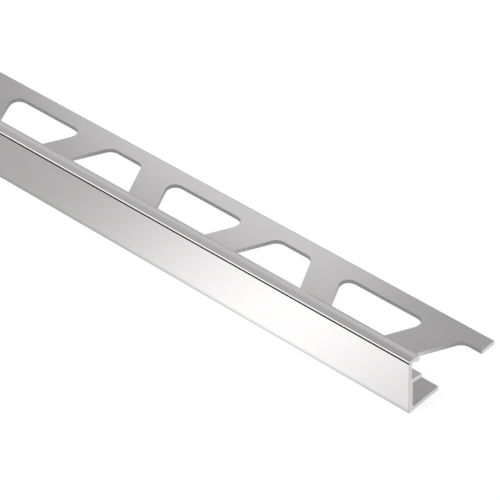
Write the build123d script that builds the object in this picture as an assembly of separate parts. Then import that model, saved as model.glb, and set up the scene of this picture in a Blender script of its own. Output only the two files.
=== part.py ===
from build123d import *
import os
from math import ceil, cos, radians, sin, tan

# Aluminium tile edge trim, one full stick, extruded and then punched.
# A tall polished face closes the edge of the tiling. A lip at its top turns
# back over the tile's edge, a rib stands inside it, and a flat leg runs back
# under the tile. The leg is punched with slanted openings for the mortar.
# All sizes are in millimetres. +X runs along the stick to the end that is cut
# through the middle of an opening, -Y is the polished face and +Z is up.
# The origin is the middle of the footprint, at the leg's underside.

# The stick
length = 1000.0
height = 12.5
depth = 24.9

# The leg and the face wall, which is thicker below the rib
leg_thickness = 0.9
lower_wall = 1.15
upper_wall = 0.85

# The lip, measured from the polished face, the groove under it and the nose at its back
lip_depth = 2.95
lip_thickness = 0.82
groove_width = 0.4
nose_height = 1.45
nose_width = 0.65

# The rib: its middle line starts from rib_height at the polished face
rib_height = 7.5
rib_reach = 3.76
rib_thickness = 0.9
rib_droop = 8.0

# Rounded corners of the section
face_radius = 0.65
shoulder_radius = 0.4
heel_radius = 0.3
leg_edge_radius = 0.2
leg_root_radius = 0.5
rib_root_radius = 0.2
lip_root_radius = 0.2
nose_radius = 0.2
nose_back_radius = 0.4

# The punched openings, which are turned end for end along the stick
opening_pitch = 23.1
inner_band = 8.45
outer_band = 3.7
web_width = 6.9
web_slant = 27.0
opening_radius = 2.2


def rib_surface(y, side):
    """Height of the rib's upper (side 1) or lower (side -1) surface, y behind the face."""
    droop = radians(rib_droop)
    return rib_height - y * tan(droop) + side * rib_thickness / (2 * cos(droop))


def rib_tip(side):
    """The rib's upper (side 1) or lower (side -1) corner at its square tip."""
    y = rib_reach + side * rib_thickness / 2 * sin(radians(rib_droop))
    return y, rib_surface(y, side)


def trim_section():
    """The extruded section, from the heel round by the leg, rib and lip to the face."""
    lip_underside = height - lip_thickness
    nose_underside = height - nose_height
    nose_front = lip_depth - nose_width
    throat = upper_wall + groove_width
    rib_tip_radius = 0.49 * rib_thickness
    corners = [
        ((0, 0), heel_radius),
        ((depth, 0), leg_edge_radius),
        ((depth, leg_thickness), leg_edge_radius),
        ((lower_wall, leg_thickness), leg_root_radius),
        ((lower_wall, rib_surface(lower_wall, -1)), rib_root_radius),
        (rib_tip(-1), rib_tip_radius),
        (rib_tip(1), rib_tip_radius),
        ((upper_wall, rib_surface(upper_wall, 1)), rib_root_radius),
        ((upper_wall, lip_underside), lip_root_radius),
        ((throat, lip_underside), nose_radius),
        ((nose_front, nose_underside), nose_radius),
        ((lip_depth, nose_underside), nose_back_radius),
        ((lip_depth, height), shoulder_radius),
        ((0, height), face_radius),
    ]
    points = [point for point, radius in corners]
    radii = [radius for point, radius in corners]
    return make_face(FilletPolyline(*points, radius=radii, close=True))


def stick():
    """The section run out to full length, before punching."""
    start = Plane((-length / 2, -depth / 2, 0), x_dir=(0, 1, 0), z_dir=(1, 0, 0))
    return extrude(start * trim_section(), amount=length)


def punched_openings():
    """Every opening of the leg: trapezoids with the wide side in and out by turns."""
    opening_depth = depth - inner_band - outer_band
    web_along = web_width / cos(radians(web_slant))
    taper = opening_depth * tan(radians(web_slant))
    wide = opening_pitch - web_along + taper
    blank = Trapezoid(wide, opening_depth, 90 - web_slant)
    opening = fillet(blank.vertices(), opening_radius)
    middle_y = inner_band + opening_depth / 2 - depth / 2
    count = ceil((length + wide / 2) / opening_pitch)
    # the first one is centred on the +X end, so the cut shows half of it
    places = [
        Pos(length / 2 - i * opening_pitch, middle_y) * Rot(0, 0, 180 * (i % 2))
        for i in range(count)
    ]
    punches = Sketch() + [place * opening for place in places]
    return extrude(punches, amount=2 * leg_thickness, both=True)


edge_trim = stick() - punched_openings()

os.makedirs("parts", exist_ok=True)
export_step(edge_trim, "parts/edge_trim.step")
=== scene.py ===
from math import ceil, cos, pi, radians, sin, tan

import bmesh
import bpy
from mathutils import Matrix, Vector


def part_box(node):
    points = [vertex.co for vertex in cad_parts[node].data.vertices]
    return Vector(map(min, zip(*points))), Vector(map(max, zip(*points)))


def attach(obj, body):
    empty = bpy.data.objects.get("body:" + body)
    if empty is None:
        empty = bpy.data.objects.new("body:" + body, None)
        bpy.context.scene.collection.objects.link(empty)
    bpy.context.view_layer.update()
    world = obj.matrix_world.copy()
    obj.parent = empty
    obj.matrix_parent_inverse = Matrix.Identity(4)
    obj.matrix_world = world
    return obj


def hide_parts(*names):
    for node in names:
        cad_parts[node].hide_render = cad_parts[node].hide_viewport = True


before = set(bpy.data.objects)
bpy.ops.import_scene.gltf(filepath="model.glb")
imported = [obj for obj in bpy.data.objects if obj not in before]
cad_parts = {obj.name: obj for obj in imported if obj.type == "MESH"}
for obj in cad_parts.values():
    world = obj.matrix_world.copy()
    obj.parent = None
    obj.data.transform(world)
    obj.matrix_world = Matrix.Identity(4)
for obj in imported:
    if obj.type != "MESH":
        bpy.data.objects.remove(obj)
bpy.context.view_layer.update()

# The stick is one aluminium extrusion: a flat leg, a tall face wall that is
# thicker below its rib, and a lip that turns back over the tile's edge and
# ends in a small nose. It is drawn as its die is, corner by corner.
MM = 0.001
low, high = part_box("edge_trim")
length, depth, height = high - low

leg_thickness = 0.9 * MM
lower_wall = 1.15 * MM
upper_wall = 0.85 * MM
lip_depth = 2.95 * MM
lip_thickness = 0.82 * MM
lip_crest = 1.63 * MM
nose_fall = 0.017 * MM
lip_fall = 0.067 * MM
groove_width = 0.4 * MM
nose_height = 1.45 * MM
nose_width = 0.65 * MM
rib_height = 7.5 * MM
rib_reach = 3.76 * MM
rib_thickness = 0.9 * MM
rib_droop = radians(8)
flat_angle = radians(0.5)


def rib_surface(y, side):
    """Height of the rib's upper (side 1) or lower (side -1) surface, y behind the face."""
    return rib_height - y * tan(rib_droop) + side * rib_thickness / (2 * cos(rib_droop))


def rib_tip(side):
    """The rib's upper (side 1) or lower (side -1) corner at its tip."""
    y = rib_reach + side * rib_thickness / 2 * sin(rib_droop)
    return y, rib_surface(y, side)


def pick(kind, test):
    """Selects the corners, edges or faces (kind) of the mesh in edit mode that pass the test."""
    bpy.ops.mesh.select_mode(type=kind)
    bpy.ops.mesh.select_all(action="DESELECT")
    mesh = bpy.context.object.data
    shape = bmesh.from_edit_mesh(mesh)
    for item in {"VERT": shape.verts, "EDGE": shape.edges, "FACE": shape.faces}[kind]:
        if test(item):
            item.select_set(True)
    shape.select_flush_mode()
    bmesh.update_edit_mesh(mesh)


def near(a, b):
    """True for two lengths that are the same to a thousandth of a millimetre."""
    return abs(a - b) < MM / 1000


def edge_at(y, z):
    """A test for the edge that runs along the stick, y behind the face and z up."""
    return lambda edge: all(near(v.co.y, low.y + y) and near(v.co.z, z) for v in edge.verts)


def face_at(y, z):
    """A test for the face along the stick whose middle is y behind the face and z up."""

    def test(face):
        middle = face.calc_center_median()
        return abs(face.normal.x) < 0.5 and near(middle.y, low.y + y) and near(middle.z, z)

    return test


def extrude(y, z):
    """Extrudes the selected faces by y back and z up."""
    bpy.ops.mesh.extrude_region_move(TRANSFORM_OT_translate={"value": (0, y, z)})


def shift(y, z):
    """Moves what is selected by y back and z up."""
    bpy.ops.transform.translate(value=(0, y, z))


bpy.ops.object.select_all(action="DESELECT")
bpy.ops.mesh.primitive_cube_add(size=1, location=(0, 0, leg_thickness / 2))
trim = bpy.context.object
trim.name = trim.data.name = "punched_edge_trim"
trim.scale = (length, depth, leg_thickness)
bpy.ops.object.transform_apply(location=True, rotation=True, scale=True)
bpy.ops.object.mode_set(mode="EDIT")
bpy.ops.mesh.select_all(action="SELECT")
bpy.ops.mesh.bisect(plane_co=(0, low.y + lower_wall, 0), plane_no=(0, 1, 0))

# the wall rises from the leg's front strip, in steps that follow its inner side
lip_underside = height - lip_thickness
wall_steps = [
    (lower_wall, leg_thickness),
    (lower_wall, rib_surface(lower_wall, -1)),
    (upper_wall, rib_surface(upper_wall, 1)),
    (upper_wall, lip_underside),
    (upper_wall, height),
]
for (y0, z0), (y1, z1) in zip(wall_steps, wall_steps[1:]):
    pick("FACE", face_at(y0 / 2, z0))
    extrude(0, z1 - z0)
    if y1 != y0:
        pick("EDGE", edge_at(y0, z1))
        shift(y1 - y0, 0)

# the rib grows out of the slanted step between the two thicknesses of the wall
rib_roots = {-1: wall_steps[1], 1: wall_steps[2]}
pick("FACE", face_at(*[sum(pair) / 2 for pair in zip(*rib_roots.values())]))
extrude(rib_reach, 0)
for side, (root_y, root_z) in rib_roots.items():
    tip_y, tip_z = rib_tip(side)
    pick("EDGE", edge_at(root_y + rib_reach, root_z))
    shift(tip_y - root_y - rib_reach, tip_z - root_z)

# the lip turns back from the top step. Its top falls away past the crest, and
# more above the nose, and its underside slants down from the groove to the nose
throat = upper_wall + groove_width
nose_front = lip_depth - nose_width
lip_steps = [upper_wall, throat, lip_crest, nose_front, lip_depth]
for y0, y1 in zip(lip_steps, lip_steps[1:]):
    pick("FACE", face_at(y0, height - lip_thickness / 2))
    extrude(y1 - y0, 0)
for y, fall in zip(lip_steps[2:], (0, nose_fall, lip_fall)):
    drop = min(1, (y - throat) / (nose_front - throat)) * (nose_height - lip_thickness)
    pick("EDGE", edge_at(y, lip_underside))
    shift(0, -drop)
    pick("EDGE", edge_at(y, height))
    shift(0, -fall)
bpy.ops.mesh.select_all(action="SELECT")
bpy.ops.mesh.dissolve_limited(angle_limit=flat_angle)

# each corner of the die is rounded, and the lip's top bends in slack curves
heel_radius = 0.3 * MM
leg_edge_radius = 0.2 * MM
leg_root_radius = 0.5 * MM
root_radius = 0.2 * MM
rib_tip_radius = 0.49 * rib_thickness
nose_radius = 0.2 * MM
nose_back_radius = 0.4 * MM
shoulder_radius = 0.4 * MM
nose_bend_radius = 10 * MM
crest_bend_radius = 21.6 * MM
face_radius = 0.65 * MM
finest_turn = radians(7)
fewest_steps = 3
die_corners = [
    ((0, 0), heel_radius),
    ((depth, 0), leg_edge_radius),
    ((depth, leg_thickness), leg_edge_radius),
    ((lower_wall, leg_thickness), leg_root_radius),
    (rib_roots[-1], root_radius),
    (rib_tip(-1), rib_tip_radius),
    (rib_tip(1), rib_tip_radius),
    (rib_roots[1], root_radius),
    ((upper_wall, lip_underside), root_radius),
    ((throat, lip_underside), nose_radius),
    ((nose_front, height - nose_height), nose_radius),
    ((lip_depth, height - nose_height), nose_back_radius),
    ((lip_depth, height - lip_fall), shoulder_radius),
    ((nose_front, height - nose_fall), nose_bend_radius),
    ((lip_crest, height), crest_bend_radius),
    ((0, height), face_radius),
]


def round_off(test, radius):
    """Rounds the edges that pass the test, in steps of about the finest turn."""
    pick("EDGE", test)
    edges = bmesh.from_edit_mesh(bpy.context.object.data).edges
    turn = next(edge.calc_face_angle() for edge in edges if edge.select)
    steps = max(fewest_steps, ceil(turn / finest_turn))
    bpy.ops.mesh.bevel(offset=radius * tan(turn / 2), segments=steps, clamp_overlap=False)


for (y, z), radius in die_corners:
    round_off(edge_at(y, z), radius)
bpy.ops.object.mode_set(mode="OBJECT")

# the metal is drawn along the stick, anodised satin, and polished where it shows.
# The angles are how far a face leans from level where a finish, or the painted shade on the leg's
# edge, ends or starts
warm_tint = {"Red": 1.012, "Green": 0.993, "Blue": 0.991}
polish_end = radians(5.7)
back_edge_start = radians(8.1)
leg_edge_end = radians(70)


class Tone:
    """An output of a shader node. Arithmetic on it adds Math nodes."""

    def __init__(self, socket):
        self.socket = socket
        self.tree = socket.id_data

    @classmethod
    def node(cls, tree, kind, sockets, output=0, **settings):
        """Adds a node, with its settings and then its sockets' values or links."""
        made = tree.nodes.new("ShaderNode" + kind)
        for name, value in settings.items():
            setattr(made, name, value)
        for name, value in sockets.items():
            if isinstance(value, Tone):
                tree.links.new(value.socket, made.inputs[name])
            else:
                made.inputs[name].default_value = value
        return cls(made.outputs[output]) if made.outputs else None

    def math(self, operation, a, b):
        """Adds the Math node of that operation on a and b."""
        return self.node(self.tree, "Math", {0: a, 1: b}, operation=operation)

    def __add__(self, other):
        return self.math("ADD", self, other)

    __radd__ = __add__

    def __sub__(self, other):
        return self.math("SUBTRACT", self, other)

    def __rsub__(self, other):
        return self.math("SUBTRACT", other, self)

    def __mul__(self, other):
        return self.math("MULTIPLY", self, other)

    __rmul__ = __mul__

    def __rpow__(self, other):
        return self.math("POWER", other, self)


def cleared_tree(owner):
    """Turns on the nodes of a material or a world, and clears them away."""
    owner.use_nodes = True
    owner.node_tree.nodes.clear()
    return owner.node_tree


def drawn_noise(tree, waves, detail):
    """Noise with that many waves per metre along x, y and z of the trim."""
    place = Tone.node(tree, "TexCoord", {}, output="Object")
    drawn = Tone.node(tree, "Mapping", {"Vector": place, "Scale": waves})
    return Tone.node(tree, "TexNoise", {"Vector": drawn, "Scale": 1, "Detail": detail})


def aluminium(name, waves, detail, grey, roughness, relief, metallic=1):
    """An aluminium finish. waves and detail are its noise's, grey and roughness are
    each a middle and a swing with the noise, and relief is the depth of its bumps."""
    material = bpy.data.materials.new(name)
    tree = cleared_tree(material)
    noise = drawn_noise(tree, waves, detail)
    swing = noise - 0.5
    tone = grey[0] + grey[1] * swing
    tinted = {light: tone * share for light, share in warm_tint.items()}
    surface = {
        "Base Color": Tone.node(tree, "CombineColor", tinted),
        "Metallic": metallic,
        "Roughness": roughness[0] + roughness[1] * swing,
        "Normal": Tone.node(tree, "Bump", {"Height": noise, "Strength": 1, "Distance": relief}),
    }
    shader = Tone.node(tree, "BsdfPrincipled", surface)
    Tone.node(tree, "OutputMaterial", {"Surface": shader})
    return material


def wear(piece, material, test=lambda face: True):
    """Puts the material on the faces of the piece that pass the test."""
    piece.data.materials.append(material)
    for face in piece.data.polygons:
        if test(face):
            face.material_index = len(piece.data.materials) - 1


def outside(face):
    """True for the faces that show when the tiles are laid: the face and the lip's top."""
    at, way = face.center, face.normal
    front = way.y < 0 and at.y < low.y + upper_wall
    top = way.z > cos(polish_end) and at.z > lip_underside
    return front or top


def lip_back(face):
    """True for the back edge of the lip, which gets the darker bare_metal material."""
    at, way = face.center, face.normal
    back = at.y > low.y + lip_depth - shoulder_radius and at.z > lip_underside
    return back and way.z < cos(back_edge_start)


def leg_edge(face):
    """True for the rounded upper edge on the leg's outer side, which gets a darker grey as
    painted shade.
    """
    return face.center.y > high.y - leg_edge_radius and face.normal.z > cos(leg_edge_end)


satin_anodised = aluminium(
    "satin_anodised",
    waves=(8, 2600, 2600),
    detail=3,
    grey=(0.595, 0.05),
    roughness=(0.36, 0.1),
    relief=0.0006 * MM,
    metallic=0.93,
)
mirror_anodised = aluminium(
    "mirror_anodised",
    waves=(5, 1500, 1500),
    detail=3,
    grey=(0.91, 0.01),
    roughness=(0.07, 0.03),
    relief=0.00002 * MM,
)
bare_metal = aluminium(
    "bare_metal",
    waves=(3000, 3000, 500),
    detail=3,
    grey=(0.43, 0.18),
    roughness=(0.45, 0.15),
    relief=0.002 * MM,
)
# painted shade: a darker grey than the satin on the leg's rounded upper outer edge
leg_edge_painted_shade = aluminium(
    "leg_edge_painted_shade",
    waves=(3000, 3000, 500),
    detail=3,
    grey=(0.26, 0.1),
    roughness=(0.45, 0.15),
    relief=0.002 * MM,
)
wear(trim, satin_anodised)
wear(trim, mirror_anodised, outside)
wear(trim, bare_metal, lip_back)
wear(trim, leg_edge_painted_shade, leg_edge)

# The leg is punched after the stick is drawn. The openings are trapezoids,
# turned end for end along the stick, and the punch leaves a slightly rolled
# edge on the leg's upper side, where it goes in.
opening_pitch = 23.1 * MM
inner_band = 8.45 * MM
outer_band = 3.7 * MM
web_width = 6.9 * MM
web_slant = radians(27)
opening_radius = 2.2 * MM
edge_roll = 0.05 * MM
roll_steps = 3
punch_stroke = 2 * MM

opening_depth = depth - inner_band - outer_band
taper = opening_depth * tan(web_slant)
wide = opening_pitch - web_width / cos(web_slant) + taper

bpy.ops.object.select_all(action="DESELECT")
bpy.ops.mesh.primitive_cube_add(size=1)
punch = bpy.context.object
punch.scale = (wide, opening_depth, 2 * punch_stroke)
bpy.ops.object.transform_apply(location=True, rotation=True, scale=True)
bpy.ops.object.mode_set(mode="EDIT")
pick("VERT", lambda v: v.co.y > 0)
bpy.ops.transform.resize(value=(1 - 2 * taper / wide, 1, 1), center_override=(0, 0, 0))
for side in (-1, 1):
    round_off(
        lambda edge: all(near(v.co.y, side * opening_depth / 2) for v in edge.verts)
        and near(edge.verts[0].co.x, edge.verts[1].co.x),
        opening_radius,
    )
for step in range(roll_steps + 1):
    rolled = step / roll_steps * pi / 2
    level = edge_roll * (sin(rolled) - 1)
    outset = edge_roll * (1 - cos(rolled))
    bpy.ops.mesh.select_all(action="SELECT")
    bpy.ops.mesh.bisect(plane_co=(0, 0, level), plane_no=(0, 0, 1))
    pick("VERT", lambda v: near(v.co.z, level) or (step == roll_steps and v.co.z > 0))
    growth = (1 + 2 * outset / wide, 1 + 2 * outset / opening_depth, 1)
    bpy.ops.transform.resize(value=growth, center_override=(0, 0, 0))
bpy.ops.object.mode_set(mode="OBJECT")

wear(punch, bare_metal)

# the first opening is centred on the +X end, so the cut shows half of it
strokes = [punch]
while len(strokes) < ceil((length + wide / 2) / opening_pitch):
    bpy.ops.object.duplicate()
    strokes.append(bpy.context.object)
for count, stroke in enumerate(strokes):
    stroke.location = (
        high.x - count * opening_pitch,
        low.y + inner_band + opening_depth / 2,
        leg_thickness,
    )
    stroke.rotation_euler.z = pi * (count % 2)
    stroke.select_set(True)
bpy.ops.object.join()
punch = bpy.context.object
punching = trim.modifiers.new("punching", "BOOLEAN")
punching.object = punch
punching.material_mode = "TRANSFER"
bpy.context.view_layer.objects.active = trim
bpy.ops.object.modifier_apply(modifier="punching")
bpy.data.objects.remove(punch)

# The stick is sawn to length after punching, and the saw's burr is brushed off,
# which leaves a fine break round each end.
saw_break = 0.05 * MM
crease_angle = radians(33)
flat_face_weight = 100

bpy.ops.object.mode_set(mode="EDIT")
for end in (-1, 1):
    pick("FACE", lambda face: near(face.calc_center_median().x, end * length / 2))
    bpy.ops.transform.translate(value=(-end * saw_break, 0, 0))
    bpy.ops.mesh.inset(thickness=saw_break, depth=saw_break)
bpy.ops.object.mode_set(mode="OBJECT")
sawn_end = aluminium(
    "sawn_end",
    waves=(500, 700, 6000),
    detail=4,
    grey=(0.56, 0.14),
    roughness=(0.42, 0.15),
    relief=0.003 * MM,
)
wear(trim, sawn_end, lambda face: abs(face.center.x) > length / 2 - saw_break)

# the broad flat faces keep their own direction where they meet a curve
bpy.ops.object.shade_smooth_by_angle(angle=crease_angle)
weighting = trim.modifiers.new("weighting", "WEIGHTED_NORMAL")
weighting.keep_sharp = True
weighting.weight = flat_face_weight
bpy.ops.object.modifier_apply(modifier="weighting")

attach(trim, "root")
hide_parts("edge_trim")

# The trim lies on a plain white studio table. The camera sees it white, with the
# trim's soft shadow. Polished metal sees painted light and shade on it instead: painted
# pools of light before the face, a painted contact shadow by the heel, painted light
# behind the near end, and painted shade farther back.
table_size = 60
table_drop = 0.01 * MM
table_grey = 0.85
white_share = 0.85
mirror_share = 0.8
seam = 0.1 * MM

# painted light and shade, seen only in the metal's mirror: pools of light, a contact shadow and
# shade behind the leg
pool_low, pool_tone = 0.255, 0.77
pool_place, pool_reach = high.x - 36 * MM, 32.5 * MM
far_tone, far_place, far_spacing = 0.2, high.x - 110 * MM, 440 * MM
painted_contact_shadow, contact_reach = 0.4, 1.05 * MM
back_tone, near_gain = 1.18, 0.95
near_start, near_reach = high.x - 60 * MM, 55 * MM
painted_back_shade, dim_start, dim_reach = 0.55, low.y + 8 * MM, 13 * MM
end_tone, end_reach = 1.2, 0.5 * MM
open_tone, open_reach = 0.85, 30 * MM
open_front, open_back = 12 * MM, low.y + 45 * MM


def fade(value, start, width, low_end=0, high_end=1, way="SMOOTHSTEP"):
    """low_end up to start and high_end from start + width on, and a rise between."""
    sockets = {"Value": value, "From Min": start, "From Max": start + width}
    sockets.update({"To Min": low_end, "To Max": high_end})
    return Tone.node(value.tree, "MapRange", sockets, interpolation_type=way)


def toward(base, goal, share):
    """base where the share is 0, goal where it is 1, and a mix of the two between."""
    return base + (goal - base) * share


bpy.ops.object.select_all(action="DESELECT")
bpy.ops.mesh.primitive_plane_add(size=table_size, location=(0, 0, -table_drop))
table = bpy.context.object
table.name = "table"
bpy.ops.object.transform_apply(location=True, rotation=True, scale=True)
white_table = bpy.data.materials.new("white_table")
white_table.cycles.emission_sampling = "NONE"
tree = cleared_tree(white_table)
place = Tone.node(tree, "TexCoord", {}, output="Object")
along, behind = [Tone.node(tree, "SeparateXYZ", {"Vector": place}, output=axis) for axis in "XY"]

# before the face: a painted pool of light by the near end, dim painted ones down the stick, and a
# painted contact shadow at the heel
before = low.y - behind
away = (along - pool_place) * (1 / pool_reach)
wave = (along - far_place) * (2 * pi / far_spacing)
painted_far_pools = 0.5 - 0.5 * Tone.node(tree, "Math", {0: wave}, operation="COSINE")
painted_pools = pool_low + pool_tone * 0.5 ** (away * away) + far_tone * painted_far_pools
painted_front_light = painted_pools * fade(before, 0, contact_reach, painted_contact_shadow, 1, "LINEAR")
painted_front_light = toward(painted_front_light, open_tone, fade(before, open_front, open_reach))
painted_front_light = painted_front_light * fade(behind, low.y, seam, 1, 0)

# behind the face: painted light, brighter by the near end, painted shade to the back, and plain
# past both
painted_back_light = back_tone + near_gain * fade(along, near_start, near_reach)
painted_back_light = toward(painted_back_light, painted_back_shade, fade(behind, dim_start, dim_reach))
painted_back_light = toward(painted_back_light, end_tone, fade(along, high.x - end_reach, end_reach))
painted_back_light = toward(painted_back_light, open_tone, fade(behind, open_back, open_reach))
painted_back_light = painted_back_light * fade(behind, low.y, seam)

seen = Tone.node(tree, "LightPath", {}, output="Is Camera Ray")
mirrored = Tone.node(tree, "LightPath", {}, output="Is Glossy Ray")
lit = Tone.node(tree, "BsdfDiffuse", {"Color": (table_grey,) * 3 + (1,)})
# mirror rays see the table glow with this painted light and shade, as a painted reflection in the
# metal
glow = Tone.node(tree, "Emission", {"Strength": seen + mirrored * (painted_front_light + painted_back_light)})
share = {"Fac": seen * white_share + mirrored * mirror_share, 1: lit, 2: glow}
Tone.node(tree, "OutputMaterial", {"Surface": Tone.node(tree, "MixShader", share)})
table.data.materials.append(white_table)

# A black thread is strung just in front of the top of the polished face, for the
# mirror finish alone, and draws the thin dark line along it.
thread_distance = 0.6 * MM
thread_low, thread_high = 11.2 * MM, 12.34 * MM
thread_overhang = 100 * MM
thread_grey = 0.01

bpy.ops.mesh.primitive_plane_add(size=1, rotation=(pi / 2, 0, 0))
thread = bpy.context.object
thread.name = "black_thread"
thread.scale = (length + 2 * thread_overhang, thread_high - thread_low, 1)
thread.location = (0, low.y - thread_distance, (thread_low + thread_high) / 2)
black = bpy.data.materials.new("black_thread")
tree = cleared_tree(black)
cloth = Tone.node(tree, "BsdfDiffuse", {"Color": (thread_grey,) * 3 + (1,)})
Tone.node(tree, "OutputMaterial", {"Surface": cloth})
thread.data.materials.append(black)
thread.visible_camera = thread.visible_diffuse = thread.visible_shadow = False

# The studio is a long room that runs along the stick. From low in front, over the
# top and down behind, it has a softbox, a grey ceiling, a paler wall, a dark skirting
# and a bright gap under it. Past the near end the room is open and bright.
softbox_tone, softbox_top, softbox_edge = 1.13, radians(44), radians(12)
ceiling_tone = 0.44
ceiling_shade, shade_start, shade_edge = 0.2, -0.52, 0.06
wall_tone, wall_top, wall_edge = 0.59, radians(130.8), radians(2.7)
skirting_tone, skirting_top, skirting_edge = 0.42, radians(134.5), radians(5)
gap_tone, gap_top, gap_edge = 0.86, radians(145), radians(7)
open_room_tone, open_room_start, open_room_edge = 0.85, -0.25, 0.3

room = bpy.data.worlds.new("pale_room")
bpy.context.scene.world = room
tree = cleared_tree(room)
way = Tone.node(tree, "TexCoord", {}, output="Generated")
along, behind, rise = [
    Tone.node(tree, "SeparateXYZ", {"Vector": way}, output=axis) for axis in "XYZ"
]
pitch = Tone.node(tree, "Math", {0: rise, 1: behind * -1}, operation="ARCTAN2")

ceiling = ceiling_tone * (1 - ceiling_shade * fade(along, shade_start, shade_edge))
lit = toward(softbox_tone, ceiling, fade(pitch, softbox_top, softbox_edge))
lit = toward(lit, wall_tone, fade(pitch, wall_top, wall_edge))
lit = toward(lit, skirting_tone, fade(pitch, skirting_top, skirting_edge))
lit = toward(lit, gap_tone, fade(pitch, gap_top, gap_edge))
lit = toward(lit, open_room_tone, fade(along, open_room_start, open_room_edge))
seen = Tone.node(tree, "LightPath", {}, output="Is Camera Ray")
shown = {"Color": (1, 1, 1, 1), "Strength": seen + (1 - seen) * lit}
Tone.node(tree, "OutputWorld", {"Surface": Tone.node(tree, "Background", shown)})

# A broad lamp overhead brings the table and the trim to a plain level. It leaves
# a soft shadow only, and the metal doesn't mirror it.
lamp_angle = radians(50)
lamp_strength = 2.5
lamp_turn = (radians(25), radians(-15), 0)

lamp = bpy.data.lights.new("overhead", "SUN")
lamp.angle = lamp_angle
lamp.energy = lamp_strength
overhead = bpy.data.objects.new("overhead", lamp)
overhead.rotation_euler = lamp_turn
overhead.visible_camera = overhead.visible_glossy = False
bpy.context.scene.collection.objects.link(overhead)

# A small softbox hangs low behind the stick, for the metal alone, and brightens
# the leg a little way in from the near end.
glow_box_size = (120 * MM, 35 * MM)
glow_box_place = (high.x - 128 * MM, low.y + 83 * MM, 60 * MM)
glow_box_turn = radians(-8)
glow_box_tone = 1.32

bpy.ops.mesh.primitive_plane_add(size=1)
glow_box = bpy.context.object
glow_box.name = "leg_softbox"
glow_box.scale = (*glow_box_size, 1)
glow_box.location = glow_box_place
glow_box.rotation_euler.z = glow_box_turn
white = bpy.data.materials.new("leg_softbox")
white.cycles.emission_sampling = "NONE"
tree = cleared_tree(white)
glow = Tone.node(tree, "Emission", {"Strength": glow_box_tone})
Tone.node(tree, "OutputMaterial", {"Surface": glow})
glow_box.data.materials.append(white)
glow_box.visible_camera = glow_box.visible_diffuse = glow_box.visible_shadow = False

# The camera looks along the stick at its near end, from in front and above. It
# stands where the heel of the near end falls on its pixel in the picture.
picture = 500
focal_pixels = 2394.3
azimuth, elevation, roll = radians(44.166), radians(39.274), radians(-2.471)
camera_distance = 430.35 * MM
heel_pixel = (408.57, 414.22)
sensor_width = 36
clip_start, clip_end = 0.02, 100

back_way = Vector((sin(azimuth) * cos(elevation), -cos(azimuth) * cos(elevation), sin(elevation)))
level_way = Vector((cos(azimuth), sin(azimuth), 0))
rise_way = back_way.cross(level_way)
right_way = level_way * cos(roll) + rise_way * sin(roll)
up_way = rise_way * cos(roll) - level_way * sin(roll)
heel = Vector((high.x, low.y, 0))
across, down = [(pixel - picture / 2) / focal_pixels for pixel in heel_pixel]
camera = bpy.data.objects.new("camera", bpy.data.cameras.new("camera"))
camera.data.sensor_width = sensor_width
camera.data.lens = focal_pixels / picture * sensor_width
camera.data.clip_start = clip_start
camera.data.clip_end = clip_end
camera.location = heel - camera_distance * (across * right_way - down * up_way - back_way)
camera.rotation_euler = Matrix((right_way, up_way, back_way)).transposed().to_euler()
bpy.context.scene.collection.objects.link(camera)
bpy.context.scene.camera = camera
bpy.context.scene.view_settings.view_transform = "Standard"
